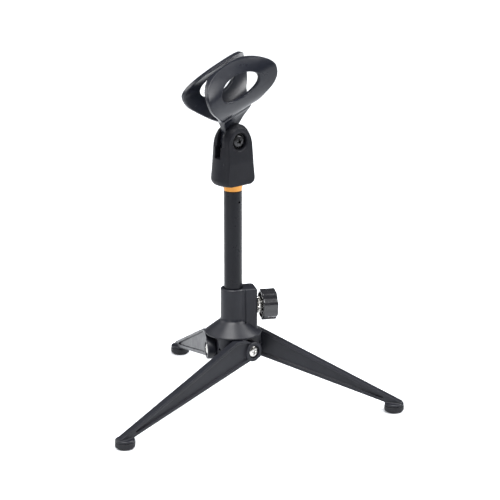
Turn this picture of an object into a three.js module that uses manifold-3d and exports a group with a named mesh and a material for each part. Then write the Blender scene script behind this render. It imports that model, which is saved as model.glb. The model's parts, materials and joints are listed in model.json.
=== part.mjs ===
// Desktop microphone stand: folding tripod hub, sliding mast with a side clamp and a
// tilting spring clip.
// Millimetres. Origin on the floor at the middle of the stand's outline seen from above,
// +Z up, +X from the mast towards the clamp knob.
import * as THREE from 'three';
import { mergeVertices } from 'three/addons/utils/BufferGeometryUtils.js';
import Module from 'manifold-3d';

const wasm = await Module();
wasm.setup();

// ---- fits ---------------------------------------------------------------------------
const GAP = 0.3; // clearance between neighbouring pieces
const OVER = 1; // how far a cutting tool runs past the face it cuts

// ---- mast ---------------------------------------------------------------------------
const MAST_X = -7.8; // the pieces are drawn around the mast axis, then moved here
const MAST_Y = -19.7;
const TUBE_R = 6;
const TUBE_WALL = 1.2;
const TUBE_BOTTOM_Z = 50;
const TUBE_TOP_Z = 145.8;
const CRIMP_Z = 138.6; // punched hole that locks the stud in the tube
const CRIMP_R = 0.8;
const CRIMP_AZIMUTH = -57;
const SPIGOT_LENGTH = 14;
const SHOULDER_R = 6.6;
const SHOULDER_HEIGHT = 4.6;
const STUD_THREAD_R = 4.7; // 3/8 inch thread, drawn smooth
const STUD_TOP_Z = 160;

// ---- hub ----------------------------------------------------------------------------
const BORE_R = TUBE_R + GAP;
const HUB_TOP_Z = 80;
const COLLAR_R = 8.25;
const CONE_TOP_Z = 58;
const RIM_R = 18.7;
const RIM_BOTTOM_Z = 49.3;
const RIM_LIP = 1.4;
const BODY_BOTTOM_Z = 31.3;
const BODY_FACE = 12.7; // axis to each flat leg face
const BODY_CORNER_CENTRE = 11.6; // axis to the centre of each rounded corner
const BODY_CORNER_R = BODY_FACE - BODY_CORNER_CENTRE / 2;
const BOSS_END_X = 15;
const BOSS_HALF_WIDTH = 7;
const BOSS_CORNER_R = 1.6;
const BOSS_TOP_CHAMFER = 0.9;
const CREASE_X = 6.8; // upright groove down each side of the boss
const CREASE_WIDTH = 0.8;
const CREASE_DEPTH = 0.7;
const CREASE_BOTTOM_Z = 55;
const VENT_R = 1.05; // small blind hole beside each corner of the hub
const VENT_Z = 41.9;
const VENT_DEPTH = 3;
const VENT_TURN = -34; // surface direction of the hole, from its corner

// ---- clamp --------------------------------------------------------------------------
const CLAMP_Z = 66.8;
const CLAMP_HOLE_R = 3.3;
const STUD_R = 3;
const SHOE_LENGTH = 2.8;
const COLLAR_START_X = 15.8;
const KNOB_START_X = 18.4;
const KNOB_END_X = 28.5;
const KNOB_R = 10.3;
const KNOB_LOBES = 8;
const KNOB_CUP_R = 8.3; // hollow in the back of the knob, around the collar
const KNOB_CUP_DEPTH = 1.6;
const KNOB_TURN = 15; // degrees that the lobes are turned at rest
const KNOB_SCALLOP = 0.9;
const KNOB_EDGE = 0.9;
const KNURL_R = 5.4;
const KNURL_DEPTH = 0.35;
const KNURL_TEETH = 20;
const INSERT_R = 4.2; // part of the knurled collar that sits inside the knob
const INSERT_END_X = 26;
const STUD_END_X = 25;

// ---- legs ---------------------------------------------------------------------------
const LEG_NORMALS = [60, 180, 300]; // directions the three flat leg faces look
const LEG_INNER = 13.1; // axis to the near side of a leg
const LEG_THICKNESS = 5;
const LEG_OUTER = LEG_INNER + LEG_THICKNESS;
const LEG_MID = LEG_INNER + LEG_THICKNESS / 2;
const PIVOT_S = -2; // position along the leg, from the foot of the mast-axis normal
const PIVOT_Z = 39.3;
const LEG_TOP_SLOPE = 0.423;
const LEG_TOP_Z0 = 54.06;
const LEG_BOTTOM_SLOPE = 0.275;
const LEG_BOTTOM_Z0 = 33.7;
const LEG_END_R = (PIVOT_Z - LEG_BOTTOM_Z0 + LEG_BOTTOM_SLOPE * PIVOT_S) / Math.hypot(1, LEG_BOTTOM_SLOPE);
const LEG_FLAT_Z = RIM_BOTTOM_Z - GAP; // where the leg stops against the rim
const WEB_RIM = 2; // width of the raised rim around the web
const WEB_DEPTH = 1.3;
const WEB_END_S = 97;
const LEG_BOSS_R = 6.7;
const LEG_BOSS_RISE = 0.6;
const LEG_COUNTERBORE_R = 4.4;
const LEG_COUNTERBORE_DEPTH = 2.2;
const FOOT_S = 106;
const FOOT_DISC_R = 6.4;
const FOOT_DISC_BOTTOM_Z = 4.6;
const FOOT_DISC_TOP_Z = 6.2;
const FOOT_R = 6.5;
const FOOT_HEIGHT = 4.4;
const FOOT_CHAMFER = 1.3;
const FOOT_STEM_R = 1.7;
const FOOT_STEM_TOP_Z = 7;
const FOOT_HOLE_TOP_Z = 7.3;
const SCREW_HEAD_R = 3.8;
const SCREW_HEAD_H = 2.1;
const SCREW_SHANK_R = 2.4;
const SCREW_TIP = 7.4; // axis to the screw's tip
const WASHER_R = 4.8;
const WASHER_THICKNESS = 0.7;
const WASHER_POCKET = 0.7;

// ---- clip base ----------------------------------------------------------------------
const CLIP_AZIMUTH = 27.2; // compass direction the clip points, from +X
const BASE_BOTTOM_Z = 150.4;
const TILT_Z = 179.3; // height of the tilt screw
const EAR_R = 10.9;
const EAR_FLAT_TOP = 7.7; // mast axis to the side flats, level with the tilt screw
const EAR_FLAT_BOTTOM = 10.2;
const EAR_EDGE = 1.2; // chamfer round the top of each ear
const SLOT_WIDTH = 5.3;
const SLOT_BOTTOM_Z = 168.5;
const COUNTERBORE_R = 5.6;
const SEAT = 4.5; // mast axis to the seats of the tilt screw and nut
const TILT_SHANK_R = 2.2;
const TILT_HEAD_R = 4.3;
const TILT_HEAD_H = 2.6;
const NUT_FLATS = 8;
const NUT_THICKNESS = 2.7;
const SOCKET_R = 8;
const SOCKET_TOP_Z = 160.8;
const SOCKET_CLEAR_Z = 162;
const THREAD_INSERT_R = SOCKET_R - GAP;
const THREAD_INSERT_BORE = STUD_THREAD_R + GAP;
const THREAD_INSERT_BOTTOM_Z = BASE_BOTTOM_Z + 0.7;

// ---- mic clip, drawn flat: +X along the microphone, +Z away from the tilt screw -------
const CLIP_TILT = 20.7;
const JAW_CENTRE_X = 9.8;
const JAW_CENTRE_Z = 37.4;
const JAW_HALF_LENGTH = 27.7;
const JAW_TOP = 12.8;
const JAW_DROP = 19;
const JAW_SQUARENESS = 2.18; // exponent of the jaws' side outline, 2 for an ellipse
const JAW_HALF_WIDTH = 10.7; // at the middle of the jaws
const JAW_TAPER = 0.055; // change of half-width along the microphone
const JAW_FLARE = 3.9; // extra half-width at both ends
const JAW_TOP_CURL = 0.74; // share of the half-width lost by the top edge
const JAW_CURL_POWER = 1.8;
const JAW_MARGIN = 0.2;
const JAW_SEAM = 19.6; // depth at which the two jaws meet
const JAW_SEAM_POWER = 2.5;
const JAW_WALL = 3;
const WINDOW_X = -0.3;
const WINDOW_Z = -1.4;
const WINDOW_HALF_LENGTH = 15.6;
const WINDOW_HALF_HEIGHT = 7.5;
const KEEL_R = 2.35;
const KEEL_Z = -19.8;
const KEEL_FRONT = -14.3;
const KEEL_BACK = 10;
const TONGUE_THICKNESS = SLOT_WIDTH - 2 * GAP;
const TONGUE_R = 8.6;
const NECK_CLEAR_R = EAR_R + 0.6;
const NECK_HALF_TOP = 4.4;

// ---- facets -------------------------------------------------------------------------
const FINE = 40;
const MEDIUM = 26;
const COARSE = 18;

// ---- materials ----------------------------------------------------------------------
const look = (color, roughness, metalness) => (
  new THREE.MeshStandardMaterial({ color, roughness, metalness })
);
const satinBlack = look(0x34363a, 0.45, 0.1);
const mattPlastic = look(0x2b2b2f, 0.7, 0);
const clipPlastic = look(0x33363c, 0.4, 0);
const knobPlastic = look(0x141416, 0.25, 0);
const nickel = look(0xc9c7c2, 0.3, 0.9);
const blackSteel = look(0x1c1c1e, 0.4, 0.7);
const brass = look(0xd99a3a, 0.3, 0.9);
const footRubber = look(0x3a3a3d, 0.85, 0);
const nylon = look(0x1f1f21, 0.6, 0);

const rad = (degrees) => degrees * Math.PI / 180;

// ---- solids -------------------------------------------------------------------------

// Signed volume of an indexed triangle list, positive when the faces look outwards.
function signedVolume(position, triangles) {
  const a = new THREE.Vector3();
  const b = new THREE.Vector3();
  const c = new THREE.Vector3();
  let total = 0;
  for (let i = 0; i < triangles.length; i += 3) {
    a.fromArray(position, 3 * triangles[i]);
    b.fromArray(position, 3 * triangles[i + 1]);
    c.fromArray(position, 3 * triangles[i + 2]);
    total += a.dot(b.cross(c)) / 6;
  }
  return total;
}

// Welds a geometry and turns it into a solid with its faces outwards.
function solid(geometry) {
  const bare = geometry.clone();
  bare.deleteAttribute('normal');
  bare.deleteAttribute('uv');
  const welded = mergeVertices(bare, 1e-5);
  const position = Float32Array.from(welded.attributes.position.array);
  const index = welded.index.array;
  const triangles = [];
  for (let i = 0; i < index.length; i += 3) {
    const [a, b, c] = [index[i], index[i + 1], index[i + 2]];
    if (a !== b && b !== c && c !== a) triangles.push(a, b, c);
  }
  if (signedVolume(position, triangles) < 0) {
    for (let i = 0; i < triangles.length; i += 3) {
      [triangles[i + 1], triangles[i + 2]] = [triangles[i + 2], triangles[i + 1]];
    }
  }
  const triVerts = Uint32Array.from(triangles);
  return new wasm.Manifold(new wasm.Mesh({ numProp: 3, vertProperties: position, triVerts }));
}

// Turned shape about Z from [radius, height] pairs that start and end on the axis.
function turned(profile, segments) {
  const points = profile.map(([r, z]) => new THREE.Vector2(r, z));
  return new THREE.LatheGeometry(points, segments).rotateX(Math.PI / 2);
}

// Cylinder or cone about Z from z0 to z1.
function post(r0, r1, z0, z1, segments) {
  const shape = new THREE.CylinderGeometry(r1, r0, z1 - z0, segments);
  return shape.rotateX(Math.PI / 2).translate(0, 0, (z0 + z1) / 2);
}

const rod = (r, z0, z1, segments = MEDIUM) => post(r, r, z0, z1, segments);
const alongX = (geometry) => geometry.rotateY(Math.PI / 2);
const alongY = (geometry) => geometry.rotateX(-Math.PI / 2);

function block(x0, x1, y0, y1, z0, z1) {
  const shape = new THREE.BoxGeometry(x1 - x0, y1 - y0, z1 - z0);
  return shape.translate((x0 + x1) / 2, (y0 + y1) / 2, (z0 + z1) / 2);
}

// Outline in the XY plane raised along Z.
function raised(points, z0, z1) {
  const shape = new THREE.Shape(points.map(([x, y]) => new THREE.Vector2(x, y)));
  const options = { depth: z1 - z0, bevelEnabled: false };
  return new THREE.ExtrudeGeometry(shape, options).translate(0, 0, z0);
}

// Outline drawn upright in the XZ plane and given thickness from y0 to y1.
function upright(points, y0, y1) {
  return raised(points, -y1, -y0).rotateX(Math.PI / 2);
}

// Points on an arc, angles in degrees.
function arc(cx, cy, r, from, to, steps) {
  const points = [];
  for (let i = 0; i <= steps; i += 1) {
    const angle = rad(from + (to - from) * i / steps);
    points.push([cx + r * Math.cos(angle), cy + r * Math.sin(angle)]);
  }
  return points;
}

// Skin through equal rings of points, closed by a fan at each end.
function skinned(rings) {
  const count = rings[0].length;
  const position = [];
  const index = [];
  rings.forEach((ring) => ring.forEach((point) => position.push(...point)));
  for (let k = 0; k + 1 < rings.length; k += 1) {
    for (let i = 0; i < count; i += 1) {
      const j = (i + 1) % count;
      const a = k * count;
      const b = a + count;
      index.push(a + i, a + j, b + j, a + i, b + j, b + i);
    }
  }
  [0, rings.length - 1].forEach((k) => {
    const centre = rings[k].reduce((sum, p) => sum.map((v, n) => v + p[n] / count), [0, 0, 0]);
    const hub = position.length / 3;
    position.push(...centre);
    for (let i = 0; i < count; i += 1) {
      const j = (i + 1) % count;
      const pair = k === 0 ? [j, i] : [i, j];
      index.push(hub, k * count + pair[0], k * count + pair[1]);
    }
  });
  const geometry = new THREE.BufferGeometry();
  geometry.setAttribute('position', new THREE.Float32BufferAttribute(position, 3));
  geometry.setIndex(index);
  return geometry;
}

// Rounded screw head standing on z = 0 with a cross recess, about Z.
function crossHead(radius, height) {
  const dome = turned([
    [0, 0],
    [radius, 0],
    [radius, height * 0.35],
    [radius * 0.9, height * 0.72],
    [radius * 0.6, height * 0.95],
    [0, height],
  ], MEDIUM);
  const wing = radius * 0.58;
  const half = radius * 0.13;
  const floor = height * 0.35;
  return solid(dome)
    .subtract(solid(block(-wing, wing, -half, half, floor, height + OVER)))
    .subtract(solid(block(-half, half, -wing, wing, floor, height + OVER)));
}

function geometryOf(manifold) {
  const mesh = manifold.getMesh();
  const geometry = new THREE.BufferGeometry();
  geometry.setAttribute('position', new THREE.BufferAttribute(mesh.vertProperties, 3));
  geometry.setIndex(new THREE.BufferAttribute(mesh.triVerts, 1));
  const flat = geometry.toNonIndexed();
  flat.computeVertexNormals();
  return flat;
}

const group = new THREE.Group();
group.name = 'desktop_mic_stand';

function addNode(name, geometry, material) {
  const mesh = new THREE.Mesh(geometry, material);
  mesh.name = name;
  group.add(mesh);
}

// ---- hub ----------------------------------------------------------------------------

// Plan of the hub below its rim: a triangle with rounded corners.
function hubPlan() {
  const points = [];
  LEG_NORMALS.forEach((normal) => {
    const corner = rad(normal - 60);
    const cx = BODY_CORNER_CENTRE * Math.cos(corner);
    const cy = BODY_CORNER_CENTRE * Math.sin(corner);
    points.push(...arc(cx, cy, BODY_CORNER_R, normal - 120, normal, 9));
  });
  return points;
}

function bossPlan(inset) {
  const half = BOSS_HALF_WIDTH - inset;
  const end = BOSS_END_X - inset;
  const r = BOSS_CORNER_R;
  return [
    [0, -half],
    ...arc(end - r, -half + r, r, -90, 0, 5),
    ...arc(end - r, half - r, r, 0, 90, 5),
    [0, half],
  ];
}

function clampBoss() {
  const ring = (inset, z) => bossPlan(inset).map(([x, y]) => [x, y, z]);
  return skinned([
    ring(0, RIM_BOTTOM_Z + RIM_LIP),
    ring(0, HUB_TOP_Z - BOSS_TOP_CHAMFER),
    ring(BOSS_TOP_CHAMFER, HUB_TOP_Z),
  ]);
}

function hub() {
  const shell = turned([
    [0, RIM_BOTTOM_Z],
    [RIM_R - 0.3, RIM_BOTTOM_Z],
    [RIM_R, RIM_BOTTOM_Z + 0.4],
    [RIM_R, RIM_BOTTOM_Z + RIM_LIP - 0.4],
    [RIM_R - 0.6, RIM_BOTTOM_Z + RIM_LIP],
    [COLLAR_R + 1.4, CONE_TOP_Z - 0.5],
    [COLLAR_R + 0.4, CONE_TOP_Z + 0.5],
    [COLLAR_R, CONE_TOP_Z + 1.8],
    [COLLAR_R, HUB_TOP_Z - 0.7],
    [COLLAR_R - 0.7, HUB_TOP_Z],
    [0, HUB_TOP_Z],
  ], FINE);
  let body = solid(shell)
    .add(solid(raised(hubPlan(), BODY_BOTTOM_Z, RIM_BOTTOM_Z + 0.5)))
    .add(solid(clampBoss()));
  body = body.subtract(solid(rod(BORE_R, BODY_BOTTOM_Z - OVER, HUB_TOP_Z + OVER, FINE)));
  const clampHole = alongX(rod(CLAMP_HOLE_R, 0, BOSS_END_X + OVER)).translate(0, 0, CLAMP_Z);
  body = body.subtract(solid(clampHole));
  [-1, 1].forEach((side) => {
    const near = side * (BOSS_HALF_WIDTH - CREASE_DEPTH);
    const far = side * (BOSS_HALF_WIDTH + OVER);
    body = body.subtract(solid(block(
      CREASE_X - CREASE_WIDTH / 2,
      CREASE_X + CREASE_WIDTH / 2,
      Math.min(near, far),
      Math.max(near, far),
      CREASE_BOTTOM_Z,
      HUB_TOP_Z + OVER,
    )));
  });
  LEG_NORMALS.forEach((normal) => {
    const thread = alongY(rod(SCREW_SHANK_R + GAP, 0, BODY_FACE + OVER));
    thread.translate(PIVOT_S, 0, PIVOT_Z).rotateZ(rad(normal - 90));
    body = body.subtract(solid(thread));
    const corner = rad(normal + 60);
    const vent = alongX(rod(VENT_R, BODY_CORNER_R - VENT_DEPTH, BODY_CORNER_R + OVER, COARSE));
    vent.rotateZ(corner + rad(VENT_TURN));
    vent.translate(
      BODY_CORNER_CENTRE * Math.cos(corner),
      BODY_CORNER_CENTRE * Math.sin(corner),
      VENT_Z,
    );
    body = body.subtract(solid(vent));
  });
  return geometryOf(body);
}

// ---- legs, drawn along +X with the screw side facing +Y --------------------------------

const legTop = (s) => LEG_TOP_Z0 - LEG_TOP_SLOPE * s;
const legBottom = (s) => LEG_BOTTOM_Z0 - LEG_BOTTOM_SLOPE * s;
const LEG_FLAT_S = (LEG_TOP_Z0 - LEG_FLAT_Z) / LEG_TOP_SLOPE;
const LEG_TIP_S = FOOT_S + 5.2;

function legOutline() {
  return [
    ...arc(PIVOT_S, PIVOT_Z, LEG_END_R, 110, 254.6, 10),
    [(LEG_BOTTOM_Z0 - FOOT_DISC_BOTTOM_Z) / LEG_BOTTOM_SLOPE, FOOT_DISC_BOTTOM_Z],
    [LEG_TIP_S, FOOT_DISC_BOTTOM_Z],
    [LEG_TIP_S, legTop(LEG_TIP_S)],
    [LEG_FLAT_S, LEG_FLAT_Z],
    [PIVOT_S + 7.5, LEG_FLAT_Z],
  ];
}

function webOutline() {
  return [
    [1, legTop(1) - 6 - WEB_RIM],
    [4, LEG_FLAT_Z - WEB_RIM - 0.6],
    [LEG_FLAT_S, LEG_FLAT_Z - WEB_RIM],
    [WEB_END_S - 1, legTop(WEB_END_S - 1) - WEB_RIM],
    [WEB_END_S, legTop(WEB_END_S) - WEB_RIM - 0.6],
    [WEB_END_S, legBottom(WEB_END_S) + WEB_RIM + 0.3],
    [WEB_END_S - 1, legBottom(WEB_END_S - 1) + WEB_RIM],
    [3, legBottom(3) + WEB_RIM + 0.4],
    [1, legBottom(1) + WEB_RIM + 1],
  ];
}

function leg(normal) {
  let body = solid(upright(legOutline(), LEG_INNER, LEG_OUTER));
  const island = alongY(rod(LEG_BOSS_R, LEG_INNER, LEG_OUTER)).translate(PIVOT_S, 0, PIVOT_Z);
  const outerWeb = solid(upright(webOutline(), LEG_OUTER - WEB_DEPTH, LEG_OUTER + OVER));
  const innerWeb = solid(upright(webOutline(), LEG_INNER - OVER, LEG_INNER + WEB_DEPTH));
  body = body.subtract(outerWeb).subtract(innerWeb).add(solid(island));
  const boss = alongY(rod(LEG_BOSS_R - 0.4, LEG_MID, LEG_OUTER + LEG_BOSS_RISE));
  body = body.add(solid(boss.translate(PIVOT_S, 0, PIVOT_Z)));
  const disc = turned([
    [0, FOOT_DISC_BOTTOM_Z],
    [FOOT_DISC_R, FOOT_DISC_BOTTOM_Z],
    [FOOT_DISC_R, FOOT_DISC_TOP_Z - 0.6],
    [FOOT_DISC_R - 0.6, FOOT_DISC_TOP_Z],
    [0, FOOT_DISC_TOP_Z],
  ], MEDIUM);
  body = body.add(solid(disc.translate(FOOT_S, LEG_MID, 0)));
  const socket = rod(FOOT_STEM_R + GAP, FOOT_DISC_BOTTOM_Z - OVER, FOOT_HOLE_TOP_Z, COARSE);
  body = body.subtract(solid(socket.translate(FOOT_S, LEG_MID, 0)));
  const hole = alongY(rod(SCREW_SHANK_R + GAP, LEG_INNER - OVER, LEG_OUTER + OVER));
  body = body.subtract(solid(hole.translate(PIVOT_S, 0, PIVOT_Z)));
  const headSeat = LEG_OUTER + LEG_BOSS_RISE - LEG_COUNTERBORE_DEPTH;
  const counterbore = alongY(rod(LEG_COUNTERBORE_R, headSeat, LEG_OUTER + LEG_BOSS_RISE + OVER));
  body = body.subtract(solid(counterbore.translate(PIVOT_S, 0, PIVOT_Z)));
  const pocket = alongY(rod(WASHER_R + GAP, LEG_INNER - OVER, LEG_INNER + WASHER_POCKET));
  body = body.subtract(solid(pocket.translate(PIVOT_S, 0, PIVOT_Z)));
  return geometryOf(body).rotateZ(rad(normal - 90));
}

function foot(normal) {
  const pad = turned([
    [0, 0],
    [FOOT_R - FOOT_CHAMFER, 0],
    [FOOT_R - 0.35, FOOT_CHAMFER * 0.65],
    [FOOT_R, FOOT_CHAMFER * 1.5],
    [FOOT_R - 0.1, FOOT_HEIGHT - 0.3],
    [FOOT_R - 0.4, FOOT_HEIGHT],
    [FOOT_STEM_R, FOOT_HEIGHT],
    [FOOT_STEM_R, FOOT_STEM_TOP_Z],
    [0, FOOT_STEM_TOP_Z],
  ], MEDIUM);
  return geometryOf(solid(pad.translate(FOOT_S, LEG_MID, 0))).rotateZ(rad(normal - 90));
}

function legScrew(normal) {
  const seat = LEG_OUTER + LEG_BOSS_RISE - LEG_COUNTERBORE_DEPTH + GAP / 2;
  const shank = solid(rod(SCREW_SHANK_R, SCREW_TIP, seat + 0.5));
  const head = geometryOf(crossHead(SCREW_HEAD_R, SCREW_HEAD_H));
  const screw = geometryOf(shank.add(solid(head.rotateZ(rad(35)).translate(0, 0, seat))));
  return alongY(screw).translate(PIVOT_S, 0, PIVOT_Z).rotateZ(rad(normal - 90));
}

function legWasher(normal) {
  const start = BODY_FACE + 0.15;
  const disc = solid(rod(WASHER_R, start, start + WASHER_THICKNESS));
  const bore = solid(rod(SCREW_SHANK_R + GAP, start - OVER, start + WASHER_THICKNESS + OVER));
  const washer = alongY(geometryOf(disc.subtract(bore)));
  return washer.translate(PIVOT_S, 0, PIVOT_Z).rotateZ(rad(normal - 90));
}

// ---- mast ---------------------------------------------------------------------------

function mastTube() {
  const wall = solid(rod(TUBE_R, TUBE_BOTTOM_Z, TUBE_TOP_Z, FINE));
  const bore = rod(TUBE_R - TUBE_WALL, TUBE_BOTTOM_Z - OVER, TUBE_TOP_Z + OVER, FINE);
  const crimp = alongX(rod(CRIMP_R, TUBE_R / 2, TUBE_R + OVER, 16)).translate(0, 0, CRIMP_Z);
  crimp.rotateZ(rad(CRIMP_AZIMUTH));
  return geometryOf(wall.subtract(solid(bore)).subtract(solid(crimp)));
}

function mastStud() {
  const spigotR = TUBE_R - TUBE_WALL - GAP / 2;
  const foot0 = TUBE_TOP_Z + GAP / 2;
  return geometryOf(solid(turned([
    [0, foot0 - SPIGOT_LENGTH],
    [spigotR - 0.6, foot0 - SPIGOT_LENGTH],
    [spigotR, foot0 - SPIGOT_LENGTH + 0.6],
    [spigotR, foot0],
    [TUBE_R, foot0],
    [SHOULDER_R, foot0 + SHOULDER_HEIGHT - 0.4],
    [SHOULDER_R - 0.4, foot0 + SHOULDER_HEIGHT],
    [STUD_THREAD_R, foot0 + SHOULDER_HEIGHT],
    [STUD_THREAD_R, STUD_TOP_Z - 1],
    [STUD_THREAD_R - 1, STUD_TOP_Z],
    [0, STUD_TOP_Z],
  ], FINE)));
}

// ---- clamp --------------------------------------------------------------------------

const placedOnClamp = (geometry) => alongX(geometry).translate(0, 0, CLAMP_Z);

function clampShoe() {
  const start = TUBE_R;
  const pad = solid(placedOnClamp(rod(STUD_R, start - 1, BORE_R + SHOE_LENGTH)));
  const seat = rod(BORE_R, CLAMP_Z - 2 * STUD_R, CLAMP_Z + 2 * STUD_R, FINE);
  return geometryOf(pad.subtract(solid(seat)));
}

function clampStud() {
  const start = BORE_R + SHOE_LENGTH + GAP;
  return geometryOf(solid(placedOnClamp(turned([
    [0, start],
    [STUD_R - 0.7, start],
    [STUD_R, start + 0.7],
    [STUD_R, STUD_END_X],
    [0, STUD_END_X],
  ], MEDIUM))));
}

function knurledOutline() {
  const points = [];
  for (let i = 0; i < 4 * KNURL_TEETH; i += 1) {
    const angle = 2 * Math.PI * i / (4 * KNURL_TEETH);
    const r = KNURL_R - (i % 4 < 2 ? 0 : KNURL_DEPTH);
    points.push([r * Math.cos(angle), r * Math.sin(angle)]);
  }
  return points;
}

function clampCollar() {
  const face = KNOB_START_X - GAP;
  const bore = rod(STUD_R + GAP / 2, COLLAR_START_X - OVER, INSERT_END_X + OVER);
  const body = solid(raised(knurledOutline(), COLLAR_START_X, face))
    .add(solid(rod(INSERT_R, face - OVER, INSERT_END_X)))
    .subtract(solid(bore));
  return placedOnClamp(geometryOf(body));
}

// Lobed outline of the knob, drawn in by inset.
function lobedRing(inset, x) {
  const steps = KNOB_LOBES * 7;
  const points = [];
  for (let i = 0; i < steps; i += 1) {
    const angle = 2 * Math.PI * i / steps;
    const phase = KNOB_LOBES * (angle + rad(KNOB_TURN));
    const dip = Math.pow(0.5 - 0.5 * Math.cos(phase), 1.6);
    const r = KNOB_R - inset - KNOB_SCALLOP * dip;
    points.push([r * Math.cos(angle), r * Math.sin(angle), x]);
  }
  return points;
}

function clampKnob() {
  const body = skinned([
    lobedRing(KNOB_EDGE, KNOB_START_X),
    lobedRing(0, KNOB_START_X + KNOB_EDGE * 0.6),
    lobedRing(0, KNOB_END_X - KNOB_EDGE),
    lobedRing(KNOB_EDGE * 0.35, KNOB_END_X - KNOB_EDGE * 0.3),
    lobedRing(KNOB_EDGE, KNOB_END_X),
  ]);
  const bore = rod(INSERT_R + GAP / 2, KNOB_START_X - OVER, INSERT_END_X + GAP);
  const dish = post(6, 7, KNOB_END_X - 0.8, KNOB_END_X + 0.2, MEDIUM);
  const cup = rod(KNOB_CUP_R, KNOB_START_X - OVER, KNOB_START_X + KNOB_CUP_DEPTH, FINE);
  const knob = solid(body).subtract(solid(bore)).subtract(solid(dish)).subtract(solid(cup));
  return placedOnClamp(geometryOf(knob));
}

// ---- clip base, drawn with the slot along X and the screw head facing -Y ---------------

const turnedToClip = (geometry) => geometry.rotateZ(rad(CLIP_AZIMUTH));

function clipBase() {
  const dome = turned([
    [0, BASE_BOTTOM_Z],
    [11.7, BASE_BOTTOM_Z],
    [13.2, BASE_BOTTOM_Z + 0.9],
    [14, BASE_BOTTOM_Z + 2.2],
    [14.3, BASE_BOTTOM_Z + 3.6],
    [13.6, 161.5],
    [12.9, 172],
    [12.5, 177.5],
    [11.9, 180.6],
    [11, 183],
    [9.5, 185.8],
    [7.6, 188],
    [5, 190],
    [0, 191.3],
  ], FINE);
  // A pair of round ears above the tilt screw's level, chamfered on their outer edges.
  const ear = (radius, y) => [
    [-16, y, BASE_BOTTOM_Z - OVER],
    [16, y, BASE_BOTTOM_Z - OVER],
    [16, y, TILT_Z - 3],
    [radius + 0.4, y, TILT_Z - 3],
    ...arc(0, TILT_Z, radius, 0, 180, 24).map(([x, z]) => [x, y, z]),
    [-radius - 0.4, y, TILT_Z - 3],
    [-16, y, TILT_Z - 3],
  ];
  const edgeY = EAR_FLAT_TOP - EAR_EDGE;
  const ears = skinned([
    ear(EAR_R - 2 * EAR_EDGE, -edgeY - 2 * EAR_EDGE),
    ear(EAR_R, -edgeY),
    ear(EAR_R, edgeY),
    ear(EAR_R - 2 * EAR_EDGE, edgeY + 2 * EAR_EDGE),
  ]);
  // Side flats that lean out towards the bottom of the base.
  const flats = raised([
    [-EAR_FLAT_BOTTOM, BASE_BOTTOM_Z],
    [EAR_FLAT_BOTTOM, BASE_BOTTOM_Z],
    [EAR_FLAT_TOP, TILT_Z],
    [EAR_FLAT_TOP, TILT_Z + 16],
    [-EAR_FLAT_TOP, TILT_Z + 16],
    [-EAR_FLAT_TOP, TILT_Z],
  ], -16, 16).rotateX(Math.PI / 2).rotateZ(Math.PI / 2);
  let body = solid(dome).intersect(solid(ears)).intersect(solid(flats));
  const half = SLOT_WIDTH / 2;
  body = body.subtract(solid(block(-20, 20, -half, half, SLOT_BOTTOM_Z, 200)));
  const screwHole = alongY(rod(TILT_SHANK_R + GAP, -20, 20, COARSE)).translate(0, 0, TILT_Z);
  const headHole = alongY(rod(COUNTERBORE_R, -20, -SEAT)).translate(0, 0, TILT_Z);
  const nutHole = alongY(rod((NUT_FLATS / 2 + GAP) / Math.cos(rad(30)), SEAT, 20, 6));
  body = body.subtract(solid(screwHole)).subtract(solid(headHole));
  body = body.subtract(solid(nutHole.translate(0, 0, TILT_Z)));
  const socket = rod(SOCKET_R, BASE_BOTTOM_Z - OVER, SOCKET_TOP_Z, FINE);
  const relief = rod(THREAD_INSERT_BORE, BASE_BOTTOM_Z, SOCKET_CLEAR_Z, FINE);
  body = body.subtract(solid(socket)).subtract(solid(relief));
  return turnedToClip(geometryOf(body));
}

function threadInsert() {
  const bottom = THREAD_INSERT_BOTTOM_Z;
  const sleeve = solid(rod(THREAD_INSERT_R, bottom, SOCKET_TOP_Z - GAP, FINE));
  const bore = rod(THREAD_INSERT_BORE, bottom - OVER, SOCKET_TOP_Z + OVER, FINE);
  return geometryOf(sleeve.subtract(solid(bore)));
}

function tiltScrew() {
  const seat = SEAT + GAP / 2;
  const shank = rod(TILT_SHANK_R, -seat - 0.5, SEAT + NUT_THICKNESS + 0.3, COARSE);
  const head = alongY(geometryOf(crossHead(TILT_HEAD_R, TILT_HEAD_H)).rotateZ(rad(20)));
  head.rotateZ(Math.PI).translate(0, -seat, TILT_Z);
  const body = solid(alongY(shank).translate(0, 0, TILT_Z)).add(solid(head));
  return turnedToClip(geometryOf(body));
}

function tiltNut() {
  const seat = SEAT + GAP / 2;
  const hex = solid(rod((NUT_FLATS / 2) / Math.cos(rad(30)), seat, seat + NUT_THICKNESS, 6));
  const bore = solid(rod(TILT_SHANK_R + GAP, seat - OVER, seat + NUT_THICKNESS + OVER, COARSE));
  return turnedToClip(alongY(geometryOf(hex.subtract(bore))).translate(0, 0, TILT_Z));
}

// ---- mic clip -------------------------------------------------------------------------

// Half-width of the clip's mid-wall at height z from the jaw centre, as a share.
function jawShare(z) {
  if (z > 0) return 1 - JAW_TOP_CURL * (z / JAW_TOP) ** JAW_CURL_POWER;
  const depth = Math.min(-z / JAW_SEAM, 1);
  return (1 - depth ** JAW_SEAM_POWER) ** (1 / JAW_SEAM_POWER);
}

// Point on the mid-wall; travel runs from 0 at the top edge to 1 at the seam.
function jawMid(travel, width) {
  const split = 0.4;
  if (travel < split) {
    const z = JAW_TOP * (1 - travel / split);
    return [jawShare(z) * width, z];
  }
  const turn = (travel - split) / (1 - split) * Math.PI / 2;
  const y = Math.cos(turn) ** (2 / JAW_SEAM_POWER);
  const z = Math.sin(turn) ** (2 / JAW_SEAM_POWER);
  return [y * width, -JAW_SEAM * z];
}

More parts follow.
